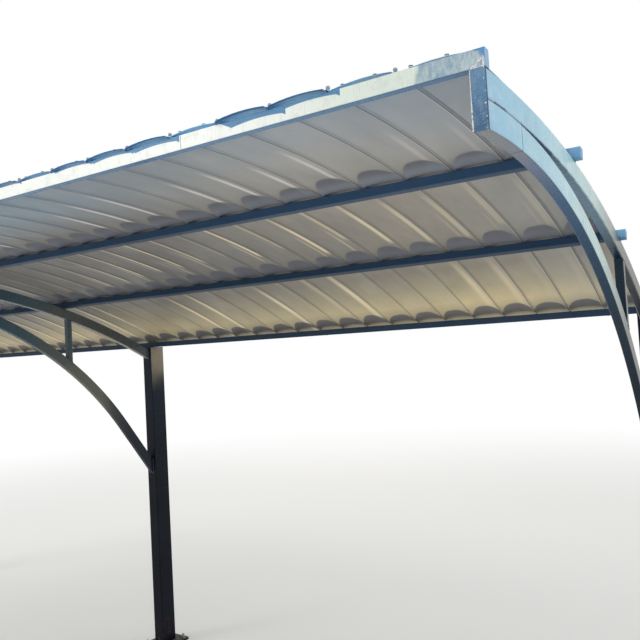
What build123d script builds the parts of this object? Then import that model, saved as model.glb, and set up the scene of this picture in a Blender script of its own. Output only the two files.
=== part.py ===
from build123d import *
import os
from math import asin, cos, degrees, hypot, radians, sin, sqrt

# Cantilever carport of welded steel tube under a roof of arched panels.
# One row of posts stands at the back. Each post carries a rib of two curved chords
# that reach forward. A fascia and three purlins lie across the ribs, and narrow roof
# panels lie on those, each lapped over its neighbour. Millimetres, X along the row of
# posts, the open front towards -Y, Z up. The origin is under the middle post, on the
# underside of its base plate.

# Layout of the whole carport
RIB_NAMES = ("left", "middle", "right")
BAY = 4000.0                    # distance between neighbouring ribs
POST_HEIGHT = 2568.0            # underside of the base plate to the top of the post cap
REACH = 2680.0                  # front face of the post to the front of the nose plate

# Posts and their plates
POST_WIDTH = 100.0              # along X
POST_DEPTH = 150.0              # along Y
POST_WALL = 4.0
POST_CORNER = 8.0
CAP_THICKNESS = 5.0
BASE_WIDTH = 260.0
BASE_DEPTH = 310.0
BASE_THICKNESS = 15.0
BASE_CORNER = 12.0
ANCHOR_HOLE = 22.0
ANCHOR_SPACING_X = 190.0
ANCHOR_SPACING_Y = 240.0

# Rib tubes
CHORD_HEIGHT = 75.0
CHORD_WIDTH = 40.0
CHORD_WALL = 2.5
CHORD_CORNER = 5.0
UPPER_RADIUS = 5347.5           # centre line of the upper chord
UPPER_CREST_SETBACK = 290.0     # nose to the highest point of the upper chord
UPPER_DROP = 13.0               # upper chord's rear top edge below the top of the post cap
LOWER_RADIUS = 2718.0           # centre line of the lower chord
LOWER_BEND = 52.7               # slope in degrees where the lower chord runs on straight
CONTACT_SETBACK = 146.0         # nose to the line where the two chords touch
TOE_LENGTH = 280.0              # nose to the butt joint in the lower chord
NOSE_PLATE = 4.0
STRUT_SIZE = 40.0
STRUT_WALL = 2.0
STRUT_CORNER = 4.0
STRUT_SETBACK = 825.0           # front face of the post to the front face of the strut

# Long members across the ribs
FASCIA_HEIGHT = 48.0
FASCIA_DEPTH = 30.0
FASCIA_STOCK = 6000.0           # longest piece of fascia tube
FASCIA_END_PIECE = 989.0        # short piece at the right-hand end
PURLIN_SIZE = 40.0
PURLIN_STUB = 25.0              # purlin beyond the outer face of an end rib
PURLIN_FRONT_SETBACK = 1745.0   # front face of the post to the centre of the purlin
PURLIN_MIDDLE_SETBACK = 857.0
TUBE_WALL = 2.0
TUBE_CORNER = 3.5
TUBE_CAP = 2.0                  # plate that closes the end of a long member

# Roof panels, which are laid in groups that each make one sheet of the roof
SHEET_COUNT = 8
PANELS_PER_SHEET = 5
ROOF_INSET = 25.0               # centre of an end rib to the edge of the roof
SHEET_THICKNESS = 1.2
PAN_RISE = 12.0                 # valley to crest
VALLEY_FLAT = 7.0
VALLEY_DEPTH = 5.0
VALLEY_SLOPE = 5.0              # width that one side of a valley takes
LAP_GAP = 0.3                   # room between the two flanges that lap in a valley
REAR_OVERHANG = 60.0            # roof behind the rear purlin
FRONT_OVERHANG = 2.0            # roof in front of the fascia

# How far each panel was pushed forward of that, counted from the right-hand end
PANEL_SLIP = (-28.0, -12.0, 7.0, 11.0, -5.0, 8.0, 6.0, 4.0, -2.0, 3.0)

SEAT_GAP = 0.2                  # room between a curved face and what it rests on
ROOF_GAP = 0.5                  # room between the valleys and what carries them

# Places worked out from the sizes above
post_front = -POST_DEPTH / 2
nose = post_front - REACH
frame_end = BAY + CHORD_WIDTH / 2
upper_top = UPPER_RADIUS + CHORD_HEIGHT / 2
upper_under = UPPER_RADIUS - CHORD_HEIGHT / 2
lower_top = LOWER_RADIUS + CHORD_HEIGHT / 2
lower_under = LOWER_RADIUS - CHORD_HEIGHT / 2


def arc_height(centre, radius, y):
    """Height of an arc at one place along Y."""
    return centre[1] + sqrt(radius**2 - (y - centre[0]) ** 2)


def arc_slope(centre, radius, y):
    """Angle in degrees by which an arc has turned down at one place along Y."""
    return degrees(asin((y - centre[0]) / radius))


def find_upper_centre():
    """Centre (y, z) of the upper chord, whose rear end meets the top of the post."""
    y = nose + UPPER_CREST_SETBACK
    rise = sqrt(upper_top**2 - (post_front - y) ** 2)
    return y, POST_HEIGHT - UPPER_DROP - rise


def find_lower_centre():
    """Centre (y, z) of the lower chord, which touches the upper one near the nose."""
    y = nose + CONTACT_SETBACK
    z = arc_height(upper_centre, upper_under, y)
    share = (lower_top + SEAT_GAP) / upper_under
    return y + (upper_centre[0] - y) * share, z + (upper_centre[1] - z) * share


def above_upper(y, lift):
    """Point above the upper chord, measured square to its top face."""
    angle = radians(arc_slope(upper_centre, upper_top, y))
    reach = upper_top + lift
    return upper_centre[0] + reach * sin(angle), upper_centre[1] + reach * cos(angle)


def circle_through(p, q, r):
    """Centre and radius of the circle through three points."""
    ay, az = q[0] - p[0], q[1] - p[1]
    by, bz = r[0] - p[0], r[1] - p[1]
    twist = 2 * (ay * bz - az * by)
    a_square = ay**2 + az**2
    b_square = by**2 + bz**2
    y = (bz * a_square - az * b_square) / twist
    z = (ay * b_square - by * a_square) / twist
    return (p[0] + y, p[1] + z), hypot(y, z)


def tangent_circle(centre, radius, touch, through):
    """Circle that runs on from another one at a touching point and meets a further point."""
    inward = ((centre[0] - touch[0]) / radius, (centre[1] - touch[1]) / radius)
    dy, dz = through[0] - touch[0], through[1] - touch[1]
    new_radius = (dy**2 + dz**2) / (2 * (dy * inward[0] + dz * inward[1]))
    new_centre = (touch[0] + new_radius * inward[0], touch[1] + new_radius * inward[1])
    return new_centre, new_radius


upper_centre = find_upper_centre()
lower_centre = find_lower_centre()
front_purlin_y = post_front - PURLIN_FRONT_SETBACK
middle_purlin_y = post_front - PURLIN_MIDDLE_SETBACK
rear_purlin_y = post_front + PURLIN_SIZE / 2
fascia_bottom = arc_height(upper_centre, upper_top, nose + FASCIA_DEPTH) + SEAT_GAP

# The valleys of the roof follow two arcs: the main one over the purlins, and a flatter
# one that runs on from the front purlin to the top of the fascia
roof_lift = SEAT_GAP + PURLIN_SIZE + ROOF_GAP
roof_touch = above_upper(front_purlin_y, roof_lift)
roof_middle = above_upper(middle_purlin_y, roof_lift)
roof_rear = (rear_purlin_y + PURLIN_SIZE / 2, POST_HEIGHT + PURLIN_SIZE + ROOF_GAP)
roof_front = (nose, fascia_bottom + FASCIA_HEIGHT + ROOF_GAP)
main_centre, main_radius = circle_through(roof_touch, roof_middle, roof_rear)
brow_centre, brow_radius = tangent_circle(main_centre, main_radius, roof_touch, roof_front)


def tube_section(width, height, wall, corner):
    """Cross-section of a rectangular tube with rolled corners."""
    outer = RectangleRounded(width, height, corner)
    inner = RectangleRounded(width - 2 * wall, height - 2 * wall, max(corner - wall, wall / 4))
    return outer - inner


def swing(section, centre, radius, start, end):
    """Revolve a section about an arc's centre between two slopes in degrees."""
    angle = radians(start)
    origin = (0, centre[0] + radius * sin(angle), centre[1] + radius * cos(angle))
    plane = Plane(origin=origin, x_dir=(1, 0, 0), z_dir=(0, -cos(angle), sin(angle)))
    axis = Axis((0, centre[0], centre[1]), (-1, 0, 0))
    return revolve(plane * section, axis, revolution_arc=end - start)


def between(y_from, y_to):
    """A tall block that keeps what lies between two places along Y."""
    size = 4 * POST_HEIGHT
    return Pos(0, (y_from + y_to) / 2, 0) * Box(size, y_to - y_from, 2 * size)


def drum(centre, radius):
    """A solid cylinder along X, wide enough to cut a rib tube."""
    return Pos(0, centre[0], centre[1]) * Rot(0, 90, 0) * Cylinder(radius, 4 * CHORD_WIDTH)


def make_base_plate():
    """Base plate with four anchor holes."""
    outline = RectangleRounded(BASE_WIDTH, BASE_DEPTH, BASE_CORNER)
    holes = GridLocations(ANCHOR_SPACING_X, ANCHOR_SPACING_Y, 2, 2) * Circle(ANCHOR_HOLE / 2)
    return extrude(outline - holes, BASE_THICKNESS)


def make_post():
    """Post tube between its base plate and its cap."""
    section = tube_section(POST_WIDTH, POST_DEPTH, POST_WALL, POST_CORNER)
    length = POST_HEIGHT - BASE_THICKNESS - CAP_THICKNESS
    return Pos(0, 0, BASE_THICKNESS) * extrude(section, length)


def make_post_cap():
    """Plate that closes the post and carries the rear purlin."""
    outline = RectangleRounded(POST_WIDTH, POST_DEPTH, POST_CORNER)
    return Pos(0, 0, POST_HEIGHT - CAP_THICKNESS) * extrude(outline, CAP_THICKNESS)


def make_upper_chord():
    """Upper chord, rolled to one radius from the nose plate to the post."""
    section = tube_section(CHORD_WIDTH, CHORD_HEIGHT, CHORD_WALL, CHORD_CORNER)
    start = arc_slope(upper_centre, upper_under, nose) - 1
    end = arc_slope(upper_centre, upper_under, post_front) + 1
    tube = swing(section, upper_centre, UPPER_RADIUS, start, end)
    return tube & between(nose + NOSE_PLATE, post_front)


def make_lower_tube():
    """Lower chord before it is cut: an arc with a straight tail that passes the post's face."""
    section = tube_section(CHORD_WIDTH, CHORD_HEIGHT, CHORD_WALL, CHORD_CORNER)
    start = arc_slope(lower_centre, lower_under, nose) - 1
    arc = swing(section, lower_centre, LOWER_RADIUS, start, LOWER_BEND)
    angle = radians(LOWER_BEND)
    y = lower_centre[0] + LOWER_RADIUS * sin(angle)
    z = lower_centre[1] + LOWER_RADIUS * cos(angle)
    tail = (post_front + CHORD_HEIGHT - y) / cos(angle)
    plane = Plane(origin=(0, y, z), x_dir=(1, 0, 0), z_dir=(0, cos(angle), -sin(angle)))
    return arc + extrude(plane * section, tail)


def make_nose_plate():
    """Plate across the front ends of both chords."""
    bottom = arc_height(lower_centre, lower_under, nose + NOSE_PLATE)
    height = fascia_bottom - SEAT_GAP - bottom
    plate = Box(CHORD_WIDTH, NOSE_PLATE, height)
    return Pos(0, nose + NOSE_PLATE / 2, bottom + height / 2) * plate


def make_strut():
    """Upright tube between the chords, its ends cut to both arcs."""
    section = tube_section(STRUT_SIZE, STRUT_SIZE, STRUT_WALL, STRUT_CORNER)
    column = Pos(0, post_front - STRUT_SETBACK + STRUT_SIZE / 2, 0) * extrude(section, 2 * POST_HEIGHT)
    below_upper = column & drum(upper_centre, upper_under - SEAT_GAP)
    return below_upper - drum(lower_centre, lower_top + SEAT_GAP)


def make_long_tube(width, height, x_from, x_to):
    """Straight tube along X, centred on the X axis."""
    section = tube_section(width, height, TUBE_WALL, TUBE_CORNER)
    plane = Plane(origin=(x_from, 0, 0), x_dir=(0, 1, 0), z_dir=(1, 0, 0))
    return extrude(plane * section, x_to - x_from)


def make_tube_cap(width, height, x):
    """Plate on the outer end of a long tube, to the left of x or to the right of it."""
    section = RectangleRounded(width, height, TUBE_CORNER)
    side = 1 if x > 0 else -1
    plane = Plane(origin=(x, 0, 0), x_dir=(0, 1, 0), z_dir=(side, 0, 0))
    return extrude(plane * section, TUBE_CAP)


def purlin_seats():
    """Where each purlin's centre line lies, front to rear: (place along Y and Z, slope)."""
    lift = SEAT_GAP + PURLIN_SIZE / 2
    seats = []
    for y in (front_purlin_y, middle_purlin_y):
        seats.append((above_upper(y, lift), arc_slope(upper_centre, upper_top, y)))
    seats.append(((rear_purlin_y, POST_HEIGHT + PURLIN_SIZE / 2), 0))
    return seats


def fascia_joints():
    """Ends of the fascia pieces along X, from the right-hand end to the left."""
    stops = [frame_end - TUBE_CAP, frame_end - FASCIA_END_PIECE]
    while stops[-1] - FASCIA_STOCK > -frame_end + TUBE_CAP:
        stops.append(stops[-1] - FASCIA_STOCK)
    stops.append(-frame_end + TUBE_CAP)
    return stops


def panel_section(pitch):
    """Cross-section of one panel: an arch with a low flange at its left edge, which lies on
    the purlins, and a raised flange at its right edge, which laps over the next panel."""
    lap = SHEET_THICKNESS + LAP_GAP
    valley = pitch / 2
    foot = valley - VALLEY_FLAT / 2
    shoulder = foot - VALLEY_SLOPE
    start = (-valley - VALLEY_FLAT / 2, 0)
    end = (valley + VALLEY_FLAT / 2 - LAP_GAP, lap)
    under = [
        Line(start, (-foot, 0)),
        Line((-foot, 0), (-shoulder, VALLEY_DEPTH)),
        ThreePointArc((-shoulder, VALLEY_DEPTH), (0, PAN_RISE), (shoulder, VALLEY_DEPTH + lap)),
        Line((shoulder, VALLEY_DEPTH + lap), (foot, lap)),
        Line((foot, lap), end),
    ]
    over = [Pos(0, SHEET_THICKNESS) * edge for edge in under]
    sides = [Line(point, (point[0], point[1] + SHEET_THICKNESS)) for point in (start, end)]
    return make_face(under + over + sides)


def make_roof_panel(section, slip):
    """One panel, swung over the purlins and on to the fascia."""
    turn = arc_slope(main_centre, main_radius, roof_touch[0])
    rear = arc_slope(main_centre, main_radius, roof_rear[0] + REAR_OVERHANG - slip)
    front = arc_slope(brow_centre, brow_radius, nose - FRONT_OVERHANG - slip)
    main = swing(section, main_centre, main_radius, turn, rear)
    brow = swing(section, brow_centre, brow_radius, front, turn)
    return main + brow


def build_ribs(parts):
    """Add every post with its rib."""
    lower_tube = make_lower_tube()
    joint = nose + TOE_LENGTH
    pieces = {
        "base_plate": make_base_plate(),
        "post": make_post(),
        "post_cap": make_post_cap(),
        "upper_chord": make_upper_chord(),
        "lower_chord": lower_tube & between(joint, post_front),
        "lower_chord_toe": lower_tube & between(nose + NOSE_PLATE, joint),
        "nose_plate": make_nose_plate(),
        "strut": make_strut(),
    }
    for index, rib in enumerate(RIB_NAMES):
        for piece, shape in pieces.items():
            parts[f"{piece}_{rib}"] = Pos((index - 1) * BAY, 0, 0) * shape


def build_long_members(parts):
    """Add the fascia, the purlins and their end caps."""
    fascia_place = Pos(0, nose + FASCIA_DEPTH / 2, fascia_bottom + FASCIA_HEIGHT / 2)
    stops = fascia_joints()
    for index in range(len(stops) - 1):
        tube = make_long_tube(FASCIA_DEPTH, FASCIA_HEIGHT, stops[index + 1], stops[index])
        parts[f"fascia_{index + 1}"] = fascia_place * tube
    ends = (-frame_end + TUBE_CAP, frame_end - TUBE_CAP)
    caps = [fascia_place * make_tube_cap(FASCIA_DEPTH, FASCIA_HEIGHT, x) for x in ends]
    parts["fascia_end_caps"] = Compound(children=caps)

    purlin_end = frame_end + PURLIN_STUB - TUBE_CAP
    tube = make_long_tube(PURLIN_SIZE, PURLIN_SIZE, -purlin_end, purlin_end)
    caps = []
    for name, ((y, z), slope) in zip(("front", "middle", "rear"), purlin_seats()):
        place = Pos(0, y, z) * Rot(-slope, 0, 0)
        parts[f"purlin_{name}"] = place * tube
        for x in (-purlin_end, purlin_end):
            caps.append(place * make_tube_cap(PURLIN_SIZE, PURLIN_SIZE, x))
    parts["purlin_end_caps"] = Compound(children=caps)


def build_roof(parts):
    """Add the roof panels side by side, one file for each sheet of them."""
    roof_width = 2 * (BAY - ROOF_INSET)
    panel_count = SHEET_COUNT * PANELS_PER_SHEET
    pitch = roof_width / panel_count
    section = panel_section(pitch)
    panels = [make_roof_panel(section, slip) for slip in PANEL_SLIP]
    for sheet in range(SHEET_COUNT):
        group = []
        for index in range(sheet * PANELS_PER_SHEET, (sheet + 1) * PANELS_PER_SHEET):
            from_right = panel_count - 1 - index
            x = (index + 0.5) * pitch - roof_width / 2
            group.append(Pos(x, 0, 0) * panels[from_right % len(panels)])
        parts[f"roof_sheet_{sheet + 1}"] = Compound(children=group)


def main():
    """Build every piece and write one STEP file for each."""
    parts = {}
    build_ribs(parts)
    build_long_members(parts)
    build_roof(parts)
    os.makedirs("parts", exist_ok=True)
    for name, shape in parts.items():
        export_step(shape, f"parts/{name}.step")


main()
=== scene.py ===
"""Looks of the cantilever carport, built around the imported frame. Metres, Z up."""

import logging
import math
from dataclasses import dataclass
from enum import Enum
from typing import Any, Sequence

import bpy
from mathutils import Matrix, Vector


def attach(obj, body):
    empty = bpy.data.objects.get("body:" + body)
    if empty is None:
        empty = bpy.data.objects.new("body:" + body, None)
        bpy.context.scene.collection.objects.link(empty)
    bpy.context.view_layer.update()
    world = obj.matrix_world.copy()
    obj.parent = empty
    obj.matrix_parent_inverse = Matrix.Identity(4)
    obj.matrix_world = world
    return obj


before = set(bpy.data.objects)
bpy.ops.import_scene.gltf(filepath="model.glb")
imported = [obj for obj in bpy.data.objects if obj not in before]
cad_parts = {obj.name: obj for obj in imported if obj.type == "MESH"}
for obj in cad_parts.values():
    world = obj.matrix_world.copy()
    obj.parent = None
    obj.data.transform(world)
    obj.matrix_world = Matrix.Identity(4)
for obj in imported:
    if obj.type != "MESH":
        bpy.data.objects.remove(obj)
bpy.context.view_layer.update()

log = logging.getLogger("carport")

Display = tuple[int, int, int]
Pair = tuple[float, float]
Point = tuple[float, float, float]
Scale = tuple[tuple[float, Display], ...]
Socket = bpy.types.NodeSocket
Material = bpy.types.Material

BODY = "root"
SIDES = (-1.0, 1.0)
WHITE = (1.0, 1.0, 1.0, 1.0)
RING_CUT = 0.92     # where a weld round a tube leaves one side for the next, as a share of half a side


def linear(colour: Display) -> tuple[float, float, float, float]:
    """Turn a display colour into the linear colour that a shader takes.

    Args:
        colour: Red, green and blue from 0 to 255, as they look on a screen.

    Returns:
        The same colour in linear light, with full opacity.
    """
    shares = [value / 255 for value in colour]
    light = [s / 12.92 if s <= 0.04045 else ((s + 0.055) / 1.055) ** 2.4 for s in shares]
    return light[0], light[1], light[2], 1.0


def spread(start: float, end: float, count: int) -> list[float]:
    """List some evenly spaced numbers from a start to an end."""
    return [start + (end - start) * step / (count - 1) for step in range(count)]


def around(cut: float) -> list[Pair]:
    """List the corners of a square from -1 to 1, in order round it, with each corner cut in two."""
    return [(1, cut), (cut, 1), (-cut, 1), (-1, cut), (-1, -cut), (-cut, -1), (cut, -1), (1, -cut)]


def add_object(name: str, data: bpy.types.ID) -> bpy.types.Object:
    """Make an object and put it into the scene.

    Args:
        name: The object's name.
        data: Its mesh, curves, lamp or camera.

    Returns:
        The new object.
    """
    thing = bpy.data.objects.new(name, data)
    bpy.context.scene.collection.objects.link(thing)
    return thing


def dress(material: Material, *starts: str) -> None:
    """Give CAD nodes their finish.

    Args:
        material: The finish.
        starts: What the nodes' names start with.
    """
    for name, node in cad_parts.items():
        if name.startswith(starts):
            node.data.materials.clear()
            node.data.materials.append(material)


class NodeBuilder:
    """Adds nodes to one tree, and links or fills their inputs in the same call."""

    def __init__(self, tree: bpy.types.NodeTree) -> None:
        """Keep the tree that the nodes go into."""
        self.tree = tree

    def feed(self, socket: Socket, value: Any) -> None:
        """Link a socket to another one, or write a constant into it.

        Args:
            socket: The input to fill.
            value: An output socket, or a constant of the input's kind.
        """
        if isinstance(value, Socket):
            self.tree.links.new(value, socket)
        else:
            socket.default_value = value

    def add(self, kind: str, inputs: dict | None = None, **settings: Any) -> bpy.types.Node:
        """Add one node.

        Args:
            kind: Blender's name for the node's type.
            inputs: Input names or numbers, each with a socket or a constant.
            settings: The node's own properties, set before its inputs.

        Returns:
            The new node.
        """
        node = self.tree.nodes.new(kind)
        for name, value in settings.items():
            setattr(node, name, value)
        for key, value in (inputs or {}).items():
            self.feed(node.inputs[key], value)
        return node

    def give(self, kind: str, inputs: dict | None = None, **settings: Any) -> Socket:
        """Add one node, as add does, and give its first output."""
        return self.add(kind, inputs, **settings).outputs[0]

    def math(self, operation: str, *values: Any) -> Socket:
        """Combine numbers or sockets with the operation of that name in Blender."""
        return self.give("ShaderNodeMath", dict(enumerate(values)), operation=operation)

    def total(self, first: Any, *rest: Any) -> Socket:
        """Add up numbers."""
        for value in rest:
            first = self.math("ADD", first, value)
        return first

    def times(self, first: Any, *rest: Any) -> Socket:
        """Multiply numbers."""
        for value in rest:
            first = self.math("MULTIPLY", first, value)
        return first

    def most(self, first: Any, *rest: Any) -> Socket:
        """Keep the highest of some numbers."""
        for value in rest:
            first = self.math("MAXIMUM", first, value)
        return first

    def less(self, value: Any, taken: Any) -> Socket:
        """Take one number from another."""
        return self.math("SUBTRACT", value, taken)

    def length(self, across: Any, up: Any) -> Socket:
        """Measure the straight line that runs so far across and so far up."""
        return self.math("SQRT", self.total(self.times(across, across), self.times(up, up)))


class Finish(NodeBuilder):
    """Material under construction, with short calls for what the finishes share."""

    def __init__(self, name: str) -> None:
        """Make an empty material of that name with one shader."""
        self.material = bpy.data.materials.new(name)
        self.material.use_nodes = True
        super().__init__(self.material.node_tree)
        self.shader = self.tree.nodes["Principled BSDF"]
        coordinates = self.add("ShaderNodeTexCoord").outputs
        self.place = coordinates["Object"]
        self.x, self.y, self.z = self.add("ShaderNodeSeparateXYZ", {0: self.place}).outputs
        self.nx, self.ny, self.nz = self.add("ShaderNodeSeparateXYZ", {0: coordinates["Normal"]}).outputs

    @property
    def away(self) -> Socket:
        """Distance from the middle post along X."""
        return self.math("ABSOLUTE", self.x)

    @property
    def outward(self) -> Socket:
        """How far a face looks away from the middle post along X."""
        return self.times(self.nx, self.math("SIGN", self.x))

    def ease(self, value: Any, low: float, high: float, start: float = 0.0, end: float = 1.0) -> Socket:
        """Pass smoothly from one level to another as a value goes from low to high.

        Args:
            value: The driving socket.
            low: Where the change starts.
            high: Where it ends.
            start: Level at the low end.
            end: Level at the high end.

        Returns:
            The level's socket.
        """
        inputs = {"Value": value, "From Min": low, "From Max": high, "To Min": start, "To Max": end}
        return self.give("ShaderNodeMapRange", inputs, interpolation_type="SMOOTHSTEP")

    def band(self, value: Any, centre: float, half_width: float, soft: float) -> Socket:
        """Mark where a value lies near a centre.

        Args:
            value: The driving socket.
            centre: Middle of the band.
            half_width: Half of the band's full-strength width.
            soft: Width of the fading edge.

        Returns:
            Socket that is 1 inside the band and 0 outside.
        """
        away = self.math("ABSOLUTE", self.less(value, centre))
        return self.ease(away, half_width, half_width + soft, 1.0, 0.0)

    def noise(self, scale: float, detail: float, stretch: Point = (1, 1, 1), roughness: float = 0.55
              ) -> Socket:
        """Sample cloudy noise at the surface's place.

        Args:
            scale: Waves per metre.
            detail: Octaves of finer noise.
            stretch: Factor on the coordinates along X, Y and Z.
            roughness: Strength of the finer octaves.

        Returns:
            The noise from 0 to 1.
        """
        place = self.give("ShaderNodeMapping", {"Vector": self.place, "Scale": stretch})
        inputs = {"Vector": place, "Scale": scale, "Detail": detail, "Roughness": roughness}
        return self.give("ShaderNodeTexNoise", inputs)

    def patches(self, scale: float, detail: float, low: float, high: float, start: float = 0.0,
                end: float = 1.0, **grain: Any) -> Socket:
        """Make patches that pass from one level to another as cloudy noise goes from low to high.

        Args:
            scale: Waves per metre.
            detail: Octaves of finer noise.
            low: Noise where the change starts.
            high: Noise where it ends.
            start: Level at the low end.
            end: Level at the high end.
            grain: Stretch or roughness of the noise.

        Returns:
            The level's socket.
        """
        return self.ease(self.noise(scale, detail, **grain), low, high, start, end)

    def waver(self, scale: float, detail: float, amount: float, **grain: Any) -> Socket:
        """Make cloudy noise that wavers round nothing, by half of an amount to either side."""
        return self.times(self.total(self.noise(scale, detail, **grain), -0.5), amount)

    def dice(self, number: Any) -> Socket:
        """Draw a number from 0 to 1 that is always the same for the same input."""
        return self.give("ShaderNodeTexWhiteNoise", {"W": number}, noise_dimensions="1D")

    def coats(self, colour: Any, *layers: tuple[Any, Any]) -> Socket:
        """Lay colours over one another.

        Args:
            colour: Lowest colour, a socket or a display colour.
            layers: How much of each next colour shows, and the colour, from the lowest up.

        Returns:
            The mixed colour's socket.
        """
        for share, over in layers:
            node = self.add("ShaderNodeMix", data_type="RGBA")
            for index, value in ((0, share), (6, colour), (7, over)):
                self.feed(node.inputs[index], linear(value) if isinstance(value, tuple) else value)
            colour = node.outputs[2]
        return colour

    def ramp(self, value: Any, stops: Sequence[tuple[float, Sequence[float]]], way: str) -> Socket:
        """Look a value up among stops.

        Args:
            value: The driving socket.
            stops: Places from 0 to 1 with their linear colours, in rising order.
            way: Blender's name for how a stop passes into the next one.

        Returns:
            The socket of what was found.
        """
        node = self.add("ShaderNodeValToRGB", {"Fac": value})
        node.color_ramp.interpolation = way
        elements = node.color_ramp.elements
        for index, (place, colour) in enumerate(stops):
            stop = elements[index] if index < 2 else elements.new(place)
            stop.position = place
            stop.color = colour
        return node.outputs[0]

    def along(self, value: Any, stops: Scale) -> Socket:
        """Read a colour off a scale whose stops are places in metres.

        Args:
            value: The driving socket, such as the place along Y.
            stops: Places with their display colours, in rising order.

        Returns:
            The colour's socket.
        """
        first, last = stops[0][0], stops[-1][0]
        share = self.give("ShaderNodeMapRange", {"Value": value, "From Min": first, "From Max": last})
        shares = [((place - first) / (last - first), linear(colour)) for place, colour in stops]
        return self.ramp(share, shares, "LINEAR")

    def close(self, colour: Any, roughness: Any, height: Any = None, depth: float = 0.001,
              **constants: float) -> Material:
        """Connect the shader.

        Args:
            colour: Base colour.
            roughness: Roughness.
            height: Relief from 0 to 1, or nothing.
            depth: Depth of the relief in metres.
            constants: Other shader sockets by name, with blanks as underscores.

        Returns:
            The finished material.
        """
        self.feed(self.shader.inputs["Base Color"], linear(colour) if isinstance(colour, tuple) else colour)
        self.feed(self.shader.inputs["Roughness"], roughness)
        if height is not None:
            bump = self.give("ShaderNodeBump", {"Height": height, "Strength": 1.0, "Distance": depth})
            self.feed(self.shader.inputs["Normal"], bump)
        for name, value in constants.items():
            self.feed(self.shader.inputs[name.replace("_", " ")], value)
        return self.material


@dataclass(frozen=True)
class RibLine:
    """Lines of a rib's two chords, seen from the side, and where the ribs stand."""

    bay: float = 4.0
    post_front: float = -0.075
    nose: float = -2.755                # front of the nose plates and of the fascia
    fascia_under: float = 3.1083
    upper_centre: Pair = (-2.465, -2.27057)
    upper_radius: float = 5.3475
    lower_radius: float = 2.718
    lower_bend: float = 52.7            # degrees of arc, before the tail runs on straight
    contact: float = -2.609             # where the chords touch
    unwelded: Pair = (-2.712, -2.604)   # open part of the seam on the outer face of an end rib
    toe_end: float = -2.475             # butt joint behind the toe of the lower chord
    half_height: float = 0.0375
    half_width: float = 0.020
    seat_gap: float = 0.0002

    @property
    def stands(self) -> Point:
        """Places of the ribs along X."""
        return -self.bay, 0.0, self.bay

    def upper(self, y: float, lift: float = 0.0) -> float:
        """Find the height on the upper chord.

        Args:
            y: Place along Y.
            lift: Distance from the chord's centre line, outwards.

        Returns:
            The height.
        """
        radius = self.upper_radius + lift
        return self.upper_centre[1] + math.sqrt(radius**2 - (y - self.upper_centre[0]) ** 2)

    @property
    def lower_centre(self) -> Pair:
        """Centre of the lower chord, which touches the upper one near the nose."""
        under = self.upper_radius - self.half_height
        share = (self.lower_radius + self.half_height + self.seat_gap) / under
        height = self.upper(self.contact, -self.half_height)
        y, z = self.upper_centre
        return self.contact + (y - self.contact) * share, height + (z - height) * share

    def lower(self, y: float, lift: float = 0.0) -> float:
        """Find the height on the lower chord, whose tail runs on straight.

        Args:
            y: Place along Y.
            lift: Distance from the chord's centre line, outwards.

        Returns:
            The height.
        """
        cy, cz = self.lower_centre
        angle = math.radians(self.lower_bend)
        radius = self.lower_radius + lift
        bend_y = cy + radius * math.sin(angle)
        if y <= bend_y:
            return cz + math.sqrt(radius**2 - (y - cy) ** 2)
        return cz + radius * math.cos(angle) - (y - bend_y) * math.tan(angle)

    def seam(self, y: float) -> float:
        """Find the height halfway between the facing sides of the two chords."""
        return (self.upper(y, -self.half_height) + self.lower(y, self.half_height)) / 2


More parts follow.
